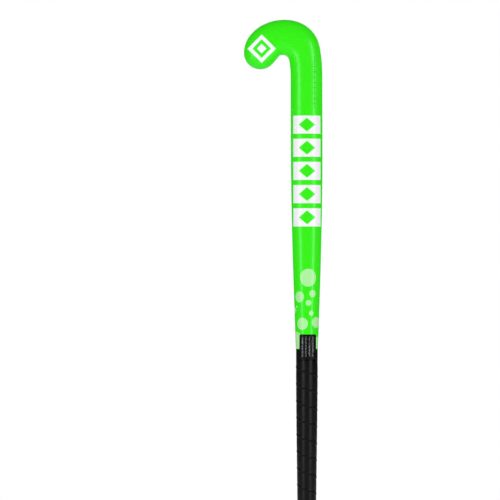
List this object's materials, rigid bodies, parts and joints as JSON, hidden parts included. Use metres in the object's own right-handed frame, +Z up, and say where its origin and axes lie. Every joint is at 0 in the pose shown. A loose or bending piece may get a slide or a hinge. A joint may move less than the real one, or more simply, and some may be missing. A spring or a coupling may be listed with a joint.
{
  "type": "field hockey stick",
  "caption": "Field hockey stick with a flat playing face, rounded back, hooked toe, bowed shaft and wrapped grip.",
  "frame": {"origin": "centre of the butt plug's end face", "axes": "+Z up the stick towards the head, +Y out of the flat playing face, -X towards the toe"},
  "size_m": [0.1137, 0.0462, 0.9271],
  "materials": {
    "painted_skin": "satin-gloss bright green lacquer over fibre laminate",
    "aramid": "woven aramid set in resin",
    "core_foam": "rigid polyurethane foam",
    "carbon": "woven carbon fibre set in resin",
    "plug_plastic": "moulded black plastic",
    "underlay": "thin soft foam underlay",
    "grip": "black polyurethane grip strip",
    "tape": "smooth black finishing tape",
    "label": "black printed film label"
  },
  "bodies": {
    "root": {"outer_skin": "painted_skin", "aramid_head_wrap": "aramid", "head_core": "core_foam", "carbon_shaft_sleeve": "carbon", "heel_side_tube": "carbon", "toe_side_tube": "carbon", "heel_side_foam": "core_foam", "toe_side_foam": "core_foam", "butt_plug": "plug_plastic", "grip_underlay": "underlay", "grip_wrap": "grip", "finishing_tape": "tape", "spec_label": "label"}
  },
  "joints": []
}
